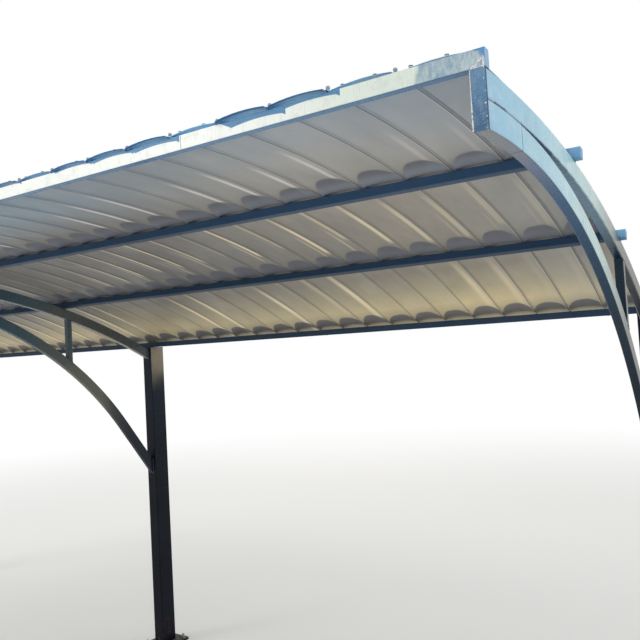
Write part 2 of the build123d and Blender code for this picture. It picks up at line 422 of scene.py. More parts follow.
@dataclass(frozen=True)
class Enamel:
    """Gloss enamel brushed over steel tube: dark navy, thinner and dustier in places."""

    name: str = "navy_enamel"
    tones: Scale = ((-2.7, (38, 60, 92)), (-1.0, (12, 24, 44)))     # place along Y, colour there
    under: float = 0.30                 # strength of the painted shade on the faces that look down
    dust: Display = (150, 150, 140)
    rust: Display = (104, 58, 34)
    rust_height: float = 0.30           # rust creeps up the post's foot to about here
    dusting: float = 0.30               # share of dust on faces that look up
    clouding: float = 0.14              # share of the lighter clouds in the coat
    gloss: float = 0.26
    shine: float = 0.3
    specks: float = 0.4
    mottling: float = 0.12              # share of the fine dark mottling
    brush: float = 0.0003               # depth of the brush marks

    def shade(self, finish: Finish) -> tuple[Socket, Display]:
        """Layer of painted shade that darkens the faces that look down."""
        return finish.ease(finish.nz, -0.35, -0.85, 0.0, self.under), (2, 5, 12)

    def tone(self, finish: Finish) -> Socket:
        """Mix the colour of the coat before wear, which changes from the front to the back, with painted
        shade on the faces that look down.

        Args:
            finish: The material under construction.

        Returns:
            The colour's socket.
        """
        return finish.coats(finish.along(finish.y, self.tones), self.shade(finish))

    def build(self) -> Material:
        """Make the material.

        Returns:
            The enamel with its mottling, dust, rust, brush marks and gloss.
        """
        finish = Finish(self.name)
        fine = finish.noise(38.0, 4.0)
        upward = finish.ease(finish.nz, 0.35, 0.9)
        settled = finish.times(upward, finish.patches(14.0, 6.0, 0.3, 0.7, 0.35, 1.0))
        foot = finish.ease(finish.z, 0.02, self.rust_height, 1.0, 0.0)
        rusty = finish.times(foot, finish.patches(26.0, 8.0, 0.5, 0.66, roughness=0.7))
        coat = finish.coats(
            self.tone(finish),
            (finish.patches(2.3, 5.0, 0.4, 0.75, 0.0, self.clouding), (110, 124, 138)),
            (finish.ease(fine, 0.45, 0.75, 0.0, self.mottling), (8, 14, 26)),
            (finish.times(settled, self.dusting), self.dust),
            (finish.patches(150.0, 2.0, 0.69, 0.74, 0.0, self.specks), (140, 150, 158)),
            (finish.times(rusty, 0.8), self.rust))
        matt = finish.total(finish.times(settled, 0.45), finish.times(rusty, 0.5),
                            finish.times(fine, 0.16), self.gloss - 0.06)
        brushed = finish.times(finish.noise(240.0, 2.0, (1.0, 1.0, 0.12)), 0.5)
        peel = finish.times(finish.noise(620.0, 1.0), 0.25)
        relief = finish.total(brushed, peel, finish.times(rusty, 0.8))
        return finish.close(coat, matt, relief, self.brush, Specular_IOR_Level=self.shine)


@dataclass(frozen=True)
class PostEnamel(Enamel):
    """Enamel of the posts, almost black, with a beige band on the sides below the roof."""

    name: str = "post_enamel"
    clouding: float = 0.03
    gloss: float = 0.32
    shine: float = 0.12
    beige_band: Display = (146, 136, 117)
    beige_from: float = 2.16            # height where the beige band starts
    beige_to: float = 2.48              # and where it is full

    def tone(self, finish: Finish) -> Socket:
        """Colour of the coat: front face by height, sides with their beige band."""
        side = finish.ease(finish.math("ABSOLUTE", finish.nx), 0.6, 0.9)
        height = finish.total(finish.z, finish.waver(7.0, 4.0, 0.16))
        beige_band = finish.times(side, finish.ease(height, self.beige_from, self.beige_to))
        return finish.coats((5, 12, 24), (finish.ease(finish.z, 1.4, 2.5), (18, 30, 46)),
                            (beige_band, self.beige_band))


@dataclass(frozen=True)
class RibEnamel(Enamel):
    """Enamel of an end rib, whose outer face has a painted reflection, from sky blue in front to beige."""

    name: str = "end_rib_enamel"
    # colour along Y: painted light, grey at the open front and dark navy under the roof
    tones: Scale = ((-2.75, (122, 128, 132)), (-2.50, (112, 122, 134)), (-2.30, (84, 106, 140)),
                    (-2.0, (24, 82, 124)), (-1.5, (12, 60, 92)), (-1.1, (22, 48, 66)),
                    (-0.4, (22, 32, 40)))
    under: float = 0.0
    clouding: float = 0.05
    shine: float = 0.2
    specks: float = 0.15
    mottling: float = 0.06
    brush: float = 0.0001
    # painted reflection on the outer face along Y: the sky in front, beige surroundings near the post
    painted_reflections: Scale = ((-2.75, (140, 194, 222)), (-2.40, (150, 201, 224)), (-1.9, (176, 214, 222)),
                     (-1.50, (180, 206, 202)), (-1.25, (142, 160, 156)), (-0.95, (84, 90, 84)),
                     (-0.6, (68, 68, 59)), (-0.3, (62, 60, 52)))
    line: RibLine = RibLine()
    seam_radius: float = 2.7560         # from the lower chord's centre to the seam between the chords
    clear_radius: float = 2.7756        # and to where the upper chord is well clear of the lower one
    joint_height: Pair = (3.047, 3.043)     # the lower chord's part of the butt joint lies below
    hollow: Display = (96, 138, 164)    # painted sky light on the underside of the upper chord

    def crease(self, finish: Finish, radius: Socket) -> Socket:
        """Mark the painted shade in the open part of the seam between the chords.

        Args:
            finish: The material under construction.
            radius: Socket with the distance from the lower chord's centre.

        Returns:
            The mark's strength.
        """
        line = finish.band(finish.total(radius, finish.waver(90.0, 2.0, 0.004)), self.seam_radius,
                           0.0027, 0.0010)
        start, end = self.line.unwelded
        return finish.times(line, finish.ease(finish.y, start, start + 0.012),
                            finish.ease(finish.y, end, end - 0.010))

    def outer_reflection(self, finish: Finish, sunny: Socket) -> Socket:
        """Mix the painted reflection on the outer face, blotched where the sun reaches it.

        Args:
            finish: The material under construction.
            sunny: Socket that is 1 where the sun reaches and 0 elsewhere.

        Returns:
            The colour's socket.
        """
        blot = finish.patches(9.0, 5.0, 0.54, 0.74, 0.0, 0.35, stretch=(1, 1, 0.6))
        pale = finish.patches(24.0, 5.0, 0.52, 0.75, 0.0, 0.3, stretch=(1, 0.5, 1))
        return finish.coats(finish.along(finish.y, self.painted_reflections),
                            (finish.times(blot, sunny), (112, 164, 190)),
                            (finish.times(pale, sunny), (206, 228, 232)))

    def tone(self, finish: Finish) -> Socket:
        """Colour of the coat: painted reflection on the outer face, dark elsewhere."""
        cy, cz = self.line.lower_centre
        radius = finish.length(finish.less(finish.y, cy), finish.less(finish.z, cz))
        sunny = finish.ease(finish.y, -0.9, -1.5)
        # painted sky light on the underside of the upper chord, in front
        hollow = finish.times(finish.math("GREATER_THAN", radius, self.clear_radius), sunny,
                              finish.ease(finish.nz, -0.3, -0.6),
                              finish.ease(finish.y, -2.4, -2.0, 0.2, 0.8))
        outer = finish.ease(finish.outward, 0.55, 0.9)
        lower = finish.ease(finish.z, *self.joint_height)
        # painted shade in the gap of the butt joint behind the toe
        joint = finish.times(finish.band(finish.y, self.line.toe_end, 0.0026, 0.0012), lower,
                             finish.ease(finish.nz, 0.2, 0.0),
                             finish.patches(55.0, 3.0, 0.25, 0.45, 0.5, 1.0), 0.95)
        scratch = finish.band(finish.y, self.line.toe_end - 0.0075, 0.0020, 0.0015)
        return finish.coats(super().tone(finish),
                            (hollow, self.hollow),
                            (outer, self.outer_reflection(finish, sunny)),
                            (joint, (34, 66, 100)),
                            (finish.times(scratch, outer, lower, 0.4), (214, 220, 222)),
                            # painted shade in the open part of the seam between the chords
                            (finish.times(self.crease(finish, radius), outer, 0.95), (24, 34, 48)))


@dataclass(frozen=True)
class NoseEnamel(Enamel):
    """Enamel of the nose plates: blue grey, mottled, with pale specks and a dark outer edge."""

    name: str = "nose_enamel"
    bay: float = RibLine.bay
    clouding: float = 0.05

    def tone(self, finish: Finish) -> Socket:
        """Colour of the coat, darker towards the foot of the plate."""
        edge = finish.math("PINGPONG", finish.x, self.bay / 2)
        return finish.coats(
            (64, 100, 134),
            (finish.ease(finish.z, 2.95, 3.10), (96, 136, 172)),
            (finish.patches(60.0, 6.0, 0.45, 0.7, 0.0, 0.5, stretch=(1, 1, 0.5)), (122, 148, 168)),
            (finish.patches(260.0, 5.0, 0.5, 0.62, 0.0, 0.35), (44, 72, 106)),
            (finish.patches(480.0, 3.0, 0.64, 0.70, 0.0, 0.75), (214, 222, 228)),
            (finish.ease(edge, 0.0178, 0.0190, 0.0, 0.8), (30, 46, 70)))


@dataclass(frozen=True)
class MiddleRibEnamel(Enamel):
    """Enamel of the middle rib, grey green under the roof and nearly black beside the post."""

    name: str = "middle_rib_enamel"
    tones: Scale = ((-2.7, (82, 98, 108)), (-1.7, (56, 80, 96)), (-1.3, (74, 94, 104)),
                    (-0.9, (104, 108, 100)), (-0.60, (108, 108, 96)), (-0.48, (64, 68, 70)),
                    (-0.33, (26, 36, 48)), (-0.1, (10, 18, 32)))
    under: float = 0.0
    clouding: float = 0.06
    shine: float = 0.2
    chord_split: float = 2.45          # the upper chord lies above this, the lower one below

    def tone(self, finish: Finish) -> Socket:
        """Colour of the coat, with a beige band on the rear of the upper chord, lightest on its faces that
        look down.
        """
        upper = finish.times(finish.ease(finish.y, -1.3, -0.5),
                             finish.math("GREATER_THAN", finish.z, self.chord_split))
        down = finish.ease(finish.nz, -0.4, -0.8, 0.0, 0.85)
        return finish.coats(super().tone(finish), (upper, (82, 86, 88)),
                            (finish.times(upper, down), (150, 146, 130)))


@dataclass(frozen=True)
class RoofPattern:
    """Where the roof panels lie along X, for the finishes that follow them."""

    right_edge: float = 3.975
    pitch: float = 0.19875
    slips: tuple[float, ...] = (-28, -12, 7, 11, -5, 8, 6, 4, -2, 3)    # millimetres
    reach: float = 2.0                                                  # millimetres
    longest: float = 20.0               # millimetres, no panel reaches out further

    def front_edge(self, index: int, fascia_front: float) -> float:
        """Find where the front edge of a panel, counted from the right, lies along Y."""
        return fascia_front - (self.slips[index % len(self.slips)] + self.reach) / 1000

    def count(self, finish: Finish) -> tuple[Socket, Socket]:
        """Find the panel at a place along X.

        Args:
            finish: The material under construction.

        Returns:
            The panel's number from the right, and the share of its width from its right edge.
        """
        steps = finish.math("DIVIDE", finish.less(self.right_edge, finish.x), self.pitch)
        number = finish.math("FLOOR", steps)
        return number, finish.less(steps, number)

    def bulge(self, finish: Finish, share: Socket, power: float) -> Socket:
        """Measure how far a place is from a panel's crest: 0 on the crest, 1 at both its edges."""
        offset = finish.math("MULTIPLY_ADD", share, 2.0, -1.0)
        return finish.math("POWER", finish.math("ABSOLUTE", offset), power)

    def overhang(self, finish: Finish, number: Socket) -> Socket:
        """Look up how far a panel reaches past the fascia.

        Args:
            finish: The material under construction.
            number: Socket with the panel's number from the right.

        Returns:
            The overhang in metres, never less than nothing.
        """
        size = len(self.slips)
        turn = finish.math("FLOORED_MODULO", number, size)
        place = finish.math("DIVIDE", finish.total(turn, 0.5), size)
        shares = [max(slip + self.reach, 0.0) / self.longest for slip in self.slips]
        stops = [(index / size, (share, share, share, 1.0)) for index, share in enumerate(shares)]
        return finish.times(finish.ramp(place, stops, "CONSTANT"), self.longest / 1000)


@dataclass(frozen=True)
class FasciaEnamel(Enamel):
    """Enamel of the fascia: painted sunlight and glare nearly white in front, painted shadows where panels
    overhang it.
    """

    name: str = "fascia_enamel"
    pattern: RoofPattern = RoofPattern()
    dusting: float = 0.1
    clouding: float = 0.0
    valley_height: float = 3.1568
    valley_side: float = 0.005          # height of the steep side of a valley
    arch: float = 0.007                 # rise of the arch above that
    light_across: float = 4.5           # sideways run of the sunlight that casts the painted shadows, for each unit inwards
    light_down: float = 2.3             # its fall for each unit inwards
    soft: float = 0.0012                # half of the width of a painted shadow's edge
    ends: Pair = (3.83, 3.87)           # the painted sunlight gives way to blotches between these
    corners: Pair = (6.198, 6.222)      # and blotches to blue, on X plus 0.7 times Z
    # colour of the painted shadows under the panels' ends
    shadow_colour: Display = (80, 134, 176)

    def fall(self, finish: Finish, share: Socket, run: Socket) -> Socket:
        """Find how low the edge of a panel's painted shadow falls on the fascia's face.

        Args:
            finish: The material under construction.
            share: Socket with the share of the panel's width.
            run: Socket with the distance from the panel's front edge to the face.

        Returns:
            The height's socket.
        """
        passed = finish.total(share, finish.times(run, self.light_across / self.pattern.pitch))
        return finish.total(self.valley_height + self.valley_side + self.arch,
                            finish.times(self.pattern.bulge(finish, passed, 2.0), -self.arch),
                            finish.times(run, -self.light_down))

    def painted_shadows(self, finish: Finish) -> Socket:
        """Mark the painted shadows that the panels' ends cast on the fascia's face.

        Args:
            finish: The material under construction.

        Returns:
            Socket that is 1 in the painted shadow and 0 elsewhere.
        """
        number, share = self.pattern.count(finish)
        inward = finish.times(finish.less(1.0, share), self.pattern.pitch / self.light_across)
        own = self.pattern.overhang(finish, number)
        left = self.pattern.overhang(finish, finish.total(number, 1.0))
        edge = self.fall(finish, share, finish.math("MINIMUM", own, inward))
        arch = self.fall(finish, finish.total(share, -1.0), left)
        slant = finish.total(self.valley_height, finish.times(inward, -self.light_down))
        shades = []
        for limit, counts in ((edge, finish.math("GREATER_THAN", own, 0.0005)),
                              (finish.math("MINIMUM", arch, slant), finish.math("LESS_THAN", inward, left))):
            above = finish.ease(finish.less(finish.z, limit), -self.soft, self.soft)
            shades.append(finish.times(above, counts))
        return finish.most(*shades)

    def front(self, finish: Finish) -> Socket:
        """Mix the colour of the front face: painted sunlight and glare, streaked, and blotched at its ends.

        Args:
            finish: The material under construction.

        Returns:
            The colour's socket.
        """
        away = finish.away
        streak = finish.patches(260.0, 3.0, 0.48, 0.72, 0.0, 0.40, stretch=(1.0, 1.0, 0.06))
        corner = finish.total(away, finish.times(finish.z, 0.7), finish.waver(40.0, 4.0, 0.05))
        mottle = finish.patches(55.0, 7.0, 0.4, 0.6, stretch=(1.0, 1.0, 0.8), roughness=0.7)
        drip = finish.patches(320.0, 3.0, 0.48, 0.68, 0.0, 0.5, stretch=(1.0, 1.0, 0.08))
        grime = finish.patches(280.0, 3.0, 0.56, 0.70, 0.0, 0.4, stretch=(1.0, 1.0, 0.10))
        end = finish.coats((140, 166, 184), (mottle, (172, 190, 196)), (drip, (206, 216, 212)),
                           (grime, (106, 128, 138)),
                           (finish.ease(corner, *self.corners), (92, 142, 190)))
        return finish.coats(
            # painted sunlight and glare on the front face
            (248, 250, 245),
            (finish.ease(away, 3.1, 3.8), (218, 228, 218)),
            (finish.times(streak, finish.ease(away, 2.6, 3.6)), (196, 208, 198)),
            (finish.ease(finish.total(away, finish.waver(26.0, 5.0, 0.10)), *self.ends), end),
            # painted shadows of the panels' ends
            (self.painted_shadows(finish), self.shadow_colour))

    def tone(self, finish: Finish) -> Socket:
        """Colour of the coat: painted sunlight in front, steel blue below, painted sky light on top and at
        the ends.
        """
        return finish.coats(
            (66, 114, 158),
            (finish.patches(5.0, 3.0, 0.3, 0.7), (80, 130, 174)),
            # painted sky light on faces that look up
            (finish.ease(finish.nz, 0.6, 0.9), (140, 204, 244)),
            (finish.ease(finish.ny, -0.6, -0.9), self.front(finish)),
            # painted sky light on the end faces
            (finish.ease(finish.outward, 0.6, 0.9), (120, 172, 212)))


@dataclass(frozen=True)
class PurlinEnamel(Enamel):
    """Enamel of the purlins, lighter towards their ends."""

    name: str = "purlin_enamel"
    middle: Display = (54, 78, 104)
    end: Display = (58, 88, 120)
    dusting: float = 0.08
    clouding: float = 0.04
    gloss: float = 0.4
    shine: float = 0.15
    specks: float = 0.1
    mottling: float = 0.03
    brush: float = 0.0001
    stub: Pair = (3.990, 4.015)         # where the ends outside the roof get painted sky light
    # the end caps, which get painted sky light
    cap: Pair = (4.094, 4.104)

    def tone(self, finish: Finish) -> Socket:
        """Colour of the coat along the purlin, darker from front to rear, with painted shade below and
        painted sky light on the ends.
        """
        # end cap: painted sky light, with real stains over it
        stain = finish.patches(90.0, 5.0, 0.52, 0.64, 0.0, 0.7, roughness=0.7)
        cap = finish.coats((136, 184, 216), (stain, (158, 150, 142)))
        return finish.coats(
            self.middle,
            (finish.ease(finish.away, 1.2, 4.0), self.end),
            (finish.ease(finish.y, -1.8, -0.4, 0.0, 0.45), (16, 24, 36)),
            self.shade(finish),
            # painted sky light on the ends outside the roof
            (finish.ease(finish.away, *self.stub), (116, 166, 204)),
            (finish.ease(finish.away, *self.cap), cap))


@dataclass(frozen=True)
class Glint:
    """Painted highlight: a bright streak along the arch of the panels, from one purlin towards the next."""

    place: float                        # share of the panel's width where it runs
    half_width: float                   # a share of that width too
    soft: float                         # and so is its fading edge
    start: float
    end: float
    strength: float
    lead: Pair = (-0.03, 0.10)          # it comes up between these, counted from its start
    tail: Pair = (0.02, -0.06)          # and goes out between these, counted from its end
    shift: float = 0.30                 # how much its place differs from panel to panel

    def mark(self, finish: Finish, dice: Socket, share: Socket) -> Socket:
        """Mark the streak on every panel.

        Args:
            finish: The material under construction.
            dice: Socket with the panel's own random number.
            share: Socket with the share of the panel's width.

        Returns:
            The streak's strength.
        """
        along = finish.less(finish.y, finish.times(finish.total(dice, -0.5), self.shift))
        comes = finish.ease(along, *(self.start + step for step in self.lead))
        goes = finish.ease(along, *(self.end + step for step in self.tail))
        taper = finish.ease(along, self.start, (self.start + self.end) / 2, 0.4, 1.0)
        across = finish.band(share, self.place, self.half_width, self.soft)
        return finish.times(comes, goes, taper, finish.ease(dice, 0.15, 0.45), across, self.strength)


@dataclass(frozen=True)
class PanelMetal:
    """Silvery roof panel, with painted reflections: cool at the front and golden at the back."""

    name: str = "panel_metal"
    pattern: RoofPattern = RoofPattern()
    # colour along Y: painted reflections, sky blue at the front edge and golden from sunlit surroundings at
    # the back
    tones: Scale = ((-2.76, (160, 226, 255)), (-2.730, (150, 214, 250)), (-2.722, (140, 196, 236)),
                    (-2.69, (134, 176, 212)), (-2.66, (130, 160, 188)), (-2.54, (174, 184, 192)),
                    (-2.25, (184, 184, 182)), (-1.98, (180, 175, 166)), (-1.60, (168, 161, 148)),
                    (-0.95, (166, 159, 144)), (-0.70, (160, 151, 134)), (-0.45, (198, 186, 152)),
                    (-0.24, (244, 225, 176)), (0.05, (204, 190, 156)))
    overhung: float = -2.757            # painted sky light: the underside turns sky blue in front of this
    matt: float = 0.44
    sheen: float = 0.35                 # share of the light that the metal mirrors
    lens_power: float = 2.8             # how flat the tip of a purlin's reflection is
    lens_edge: Pair = (-0.004, 0.016)   # its outline fades in between these
    lap: Point = (0.0, 0.026, 0.008)    # painted shade and dark reflection at a lap: place, half width and soft edge, as shares
    lap_end: Point = (1.0, 0.006, 0.006)
    lap_highlight: Point = (0.054, 0.012, 0.010)        # painted highlight beside it
    # front face of each purlin, how far its reflection reaches along a panel, and its lift there
    reflections: tuple[Point, ...] = ((-1.838, 0.145, 1.0), (-0.949, 0.140, 0.55), (-0.075, 0.085, 0.15))
    glints: tuple[Glint, ...] = (
        Glint(0.28, 0.012, 0.085, -2.42, -1.97, 0.85), Glint(0.15, 0.020, 0.10, -1.80, -1.18, 0.85),
        Glint(0.36, 0.012, 0.05, -1.50, -1.10, 0.35), Glint(0.21, 0.020, 0.16, -0.90, -0.13, 0.90))

    def mirrored(self, finish: Finish, share: Socket) -> tuple[Socket, Socket]:
        """Mark the dark reflections of the purlins, which the arched panels bend to lenses.

        Args:
            finish: The material under construction.
            share: Socket with the share of the panel's width.

        Returns:
            The lenses' strength, and how near to the purlin a place is.
        """
        bulge = self.pattern.bulge(finish, share, self.lens_power)
        sway = finish.waver(1.7, 2.0, 0.10, stretch=(2.0, 1.0, 1.0))
        marks = near = 0.0
        for face, reach, lift in self.reflections:
            edge = finish.total(finish.times(bulge, reach), sway, face - reach)
            lens = finish.ease(finish.less(finish.y, edge), *self.lens_edge)
            behind = finish.ease(finish.y, face + 0.03, face)
            rise = finish.ease(finish.y, face - 0.12, face, 0.0, lift)
            marks = finish.most(marks, finish.times(lens, behind))
            near = finish.most(near, finish.times(rise, behind))
        return marks, near

    def streaks(self, finish: Finish, number: Socket, share: Socket) -> Socket:
        """Mark the glints of all panels, which fade towards the carport's right end.

        Args:
            finish: The material under construction.
            number: Socket with the panel's number.
            share: Socket with the share of the panel's width.

        Returns:
            The glints' strength.
        """
        found = 0.0
        for turn, glint in enumerate(self.glints):
            dice = finish.dice(finish.total(number, 37.0 * turn + 0.5))
            found = finish.most(found, glint.mark(finish, dice, share))
        return finish.times(found, finish.ease(finish.x, 3.75, 2.7, 0.25, 1.0))

    def underside(self, finish: Finish) -> Socket:
        """Mix the colour of the side that looks down, with painted reflections, painted glints and painted
        shade at its laps.

        Args:
            finish: The material under construction.

        Returns:
            The colour's socket.
        """
        x, y = finish.x, finish.y
        number, share = self.pattern.count(finish)
        # painted reflection of the end ribs, cooler towards both ends
        ends = finish.times(finish.ease(finish.away, 3.2, 3.9), finish.ease(y, -1.9, -2.4, 0.35, 0.6))
        left = finish.ease(x, 3.9, 1.2)
        aside = finish.times(left, finish.ease(y, -1.1, -0.5, 0.66, 0.34), finish.ease(y, -2.70, -2.62))
        # painted reflection of the blue sky on the left of the front bay
        front = finish.times(finish.ease(x, 3.0, 1.6), finish.ease(y, -1.95, -2.4, 0.0, 0.5))
        cloud = finish.noise(3.2, 3.0, (2.0, 0.8, 0.8))
        # colour of the painted glints
        glow = finish.coats((244, 236, 232), (finish.ease(y, -2.0, -1.7), (255, 238, 198)))
        marks, near = self.mirrored(finish, share)
        mirror = finish.coats((100, 103, 114), (near, (182, 188, 202)),
                              (finish.times(left, 0.5), (72, 78, 90)))
        # painted shade and dark reflection at the laps, with a painted highlight beside them
        lap = finish.most(finish.band(share, *self.lap), finish.band(share, *self.lap_end))
        beside_lap = finish.band(share, *self.lap_highlight)
        return finish.coats(
            finish.along(y, self.tones),
            (ends, (150, 164, 178)),
            (aside, (84, 88, 94)),
            (front, (150, 178, 198)),
            (finish.times(finish.dice(number), 0.10), (112, 116, 120)),
            (finish.ease(cloud, 0.5, 0.75, 0.0, 0.16), (206, 202, 194)),
            (finish.ease(cloud, 0.5, 0.25, 0.0, 0.16), (96, 98, 102)),
            (self.streaks(finish, number, share), glow),
            (finish.times(marks, 0.82), mirror),
            (finish.times(lap, 0.8), (74, 76, 84)),
            (finish.times(beside_lap, 0.5), (214, 210, 204)),
            # painted sky light under the overhanging front edge
            (finish.ease(y, self.overhung + 0.006, self.overhung - 0.002), (76, 128, 176)))

    def topside(self, finish: Finish) -> tuple[Socket, Socket]:
        """Mix the colour of the side that looks up, spangled and dusty.

        Args:
            finish: The material under construction.

        Returns:
            The colour's socket, and how much dust lies on it.
        """
        _, share = self.pattern.count(finish)
        spangle = finish.give("ShaderNodeTexVoronoi", {"Vector": finish.place, "Scale": 70.0})
        low = finish.total(finish.band(share, 0.0, 0.05, 0.12), finish.band(share, 1.0, 0.05, 0.12))
        dust = finish.times(finish.patches(8.0, 6.0, 0.3, 0.7, stretch=(1.0, 0.3, 0.3)),
                            finish.total(finish.times(low, 0.5), 0.3))
        top = finish.coats((160, 166, 170), (finish.ease(spangle, 0.2, 0.7), (184, 188, 191)),
                           (dust, (178, 170, 150)))
        return top, dust

    def build(self) -> Material:
        """Make the material.

        Returns:
            The metal with both its sides and the slight waves of thin sheet.
        """
        finish = Finish(self.name)
        top, dust = self.topside(finish)
        above = finish.ease(finish.nz, 0.1, 0.4)
        smear = finish.patches(26.0, 4.0, 0.3, 0.7, -0.03, 0.05, stretch=(1.0, 0.2, 0.2))
        matt = finish.total(smear, finish.times(above, dust, 0.35), self.matt)
        waves = finish.noise(4.0, 2.0, (2.0, 1.0, 1.0))
        return finish.close(finish.coats(self.underside(finish), (above, top)), matt, waves,
                            Metallic=self.sheen)


@dataclass(frozen=True)
class SmallMetal:
    """Fields that the finishes of the small metal parts share."""

    name: str
    colour: Display
    worn: Display                       # colour of the blotches on it
    metallic: float
    roughness: float


class WeldMetal(SmallMetal):
    """Weld bead, either bare and bright or brushed over with enamel."""

    def build(self) -> Material:
        """Make the material.

        Returns:
            The bead's finish, blotched and rusty in spots along its length.
        """
        finish = Finish(self.name)
        blotch = finish.patches(160.0, 4.0, 0.35, 0.65)
        rust = finish.patches(60.0, 5.0, 0.58, 0.7, 0.0, 0.6, roughness=0.7)
        colour = finish.coats(self.colour, (blotch, self.worn), (rust, (126, 78, 52)))
        matt = finish.total(finish.times(blotch, 0.15), self.roughness)
        return finish.close(colour, matt, finish.noise(900.0, 2.0), 0.0003, Metallic=self.metallic)


class FastenerMetal(SmallMetal):
    """Finish of screws, washers, nuts and caps."""

    def build(self) -> Material:
        """Make the material.

        Returns:
            The fastener's finish with worn spots and fine scratches.
        """
        finish = Finish(self.name)
        worn = finish.patches(240.0, 5.0, 0.45, 0.68)
        matt = finish.total(finish.times(worn, 0.22), self.roughness)
        return finish.close(finish.coats(self.colour, (worn, self.worn)), matt,
                            finish.noise(1400.0, 2.0), 0.0001, Metallic=self.metallic)


class Finishes(Enum):
    """The finishes of the parts that the scene adds."""

    PAINTED_WELD = WeldMetal("painted_weld", (46, 62, 86), (26, 38, 58), 0.0, 0.35)
    # weld on the end ribs' outer faces, in the sky blue of their painted reflection
    SKY_REFLECTION_WELD = WeldMetal("sky_reflection_weld", (146, 194, 216), (176, 168, 176), 0.0, 0.5)
    BARE_WELD = WeldMetal("bare_weld", (238, 238, 236), (186, 190, 194), 0.1, 0.5)
    SCREW_CAP = FastenerMetal("screw_cap", (140, 148, 160), (176, 182, 190), 0.0, 0.35)
    WASHER = FastenerMetal("screw_washer", (232, 234, 234), (206, 208, 208), 0.0, 0.45)
    SCREW_HEAD = FastenerMetal("screw_head", (84, 78, 74), (58, 54, 52), 0.3, 0.5)
    ZINC = FastenerMetal("anchor_zinc", (158, 162, 162), (112, 104, 92), 0.85, 0.4)

    def material(self) -> Material:
        """Give the finish's material, made at its first use."""
        return bpy.data.materials.get(self.value.name) or self.value.build()


class Pattern(NodeBuilder):
    """Geometry node tree that turns a carrier of points or curves into repeated metalwork."""

    def __init__(self, name: str, **sizes: float) -> None:
        """Make a tree with one geometry input and named size inputs.

        Args:
            name: The tree's name.
            sizes: The usual value of each size input, by its name.
        """
        super().__init__(bpy.data.node_groups.new(name, "GeometryNodeTree"))
        face = self.tree.interface
        face.new_socket("Carrier", in_out="INPUT", socket_type="NodeSocketGeometry")
        self.sizes: dict[str, str] = {}
        for label, value in sizes.items():
            socket = face.new_socket(label, in_out="INPUT", socket_type="NodeSocketFloat")
            socket.default_value = value
            self.sizes[label] = socket.identifier
        face.new_socket("Metalwork", in_out="OUTPUT", socket_type="NodeSocketGeometry")
        self.entry = self.add("NodeGroupInput").outputs[:len(sizes) + 1]

    def random(self, low: float, high: float, seed: int) -> Socket:
        """Give each point its own number from a fixed seed."""
        inputs = {2: low, 3: high, "Seed": seed}
        return self.add("FunctionNodeRandomValue", inputs, data_type="FLOAT").outputs[1]

    def curve(self, value: Socket, heights: Sequence[float]) -> Socket:
        """Look a value from 0 to 1 up on evenly spaced points with straight lines between them.

        Args:
            value: The driving socket.
            heights: The points' heights, from 0 to 1.

        Returns:
            The socket of the height that was found.
        """
        node = self.add("ShaderNodeFloatCurve", {"Value": value})
        points = node.mapping.curves[0].points
        while len(points) < len(heights):
            points.new(0.5, 0.5)
        for spot, place, height in zip(points, spread(0.0, 1.0, len(heights)), heights):
            spot.location = (place, height)
            spot.handle_type = "VECTOR"
        node.mapping.update()
        return node.outputs[0]

    def turned(self, profile: Sequence[Pair], sides: int, finish: Material, smooth: bool) -> Socket:
        """Turn a profile round the Z axis, as on a lathe.

        Args:
            profile: Radius and height of each ring from the bottom up, in millimetres.
            sides: Number of sides.
            finish: The piece's material.
            smooth: Whether its faces shade smoothly.

        Returns:
            The closed mesh.
        """
        widest, tallest = (max(values) for values in zip(*profile))
        tube = self.give("GeometryNodeMeshCone", {"Vertices": sides, "Side Segments": len(profile) - 1,
                         "Radius Top": 1.0, "Radius Bottom": 1.0, "Depth": 1.0}, fill_type="NGON")
        x, y, z = self.add("ShaderNodeSeparateXYZ", {0: self.give("GeometryNodeInputPosition")}).outputs
        wide = self.times(self.curve(z, [radius / widest for radius, _ in profile]), widest / 1000)
        tall = self.times(self.curve(z, [height / tallest for _, height in profile]), tallest / 1000)
        place = self.give("ShaderNodeCombineXYZ", {0: self.times(x, wide), 1: self.times(y, wide), 2: tall})
        shaped = self.give("GeometryNodeSetPosition", {"Geometry": tube, "Position": place})
        shaded = self.give("GeometryNodeSetShadeSmooth", {0: shaped, "Shade Smooth": smooth})
        return self.give("GeometryNodeSetMaterial", {0: shaded, "Material": finish})

    def close(self, geometry: Socket, finish: Material | None = None) -> None:
        """End the tree with real geometry and its material.

        Args:
            geometry: What the tree made.
            finish: Material of the whole piece, or nothing where its parts have their own.
        """
        real = self.give("GeometryNodeRealizeInstances", {0: geometry})
        if finish is not None:
            real = self.give("GeometryNodeSetMaterial", {0: real, "Material": finish})
        self.add("NodeGroupOutput", {0: real})

    def make(self, name: str, shape: bpy.types.ID, slot: str, **sizes: float) -> None:
        """Run the tree on a carrier and keep the result as a plain mesh that rides on the carport.

        Args:
            name: The new piece's name.
            shape: Mesh or curves that the tree works on.
            slot: The record's material slot; not used.
            sizes: Size inputs that differ from the usual.
        """
        carrier = add_object(f"{name}_carrier", shape)
        modifier = carrier.modifiers.new(self.tree.name, "NODES")
        modifier.node_group = self.tree
        for label, value in sizes.items():
            modifier[self.sizes[label]] = value
        ready = carrier.evaluated_get(bpy.context.evaluated_depsgraph_get())
        mesh = bpy.data.meshes.new_from_object(ready)
        carrier.modifiers.remove(modifier)
        bpy.data.objects.remove(carrier)
        mesh.name = name
        piece = add_object(name, mesh)
        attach(piece, BODY)
        log.info("%s: %d faces", name, len(mesh.polygons))


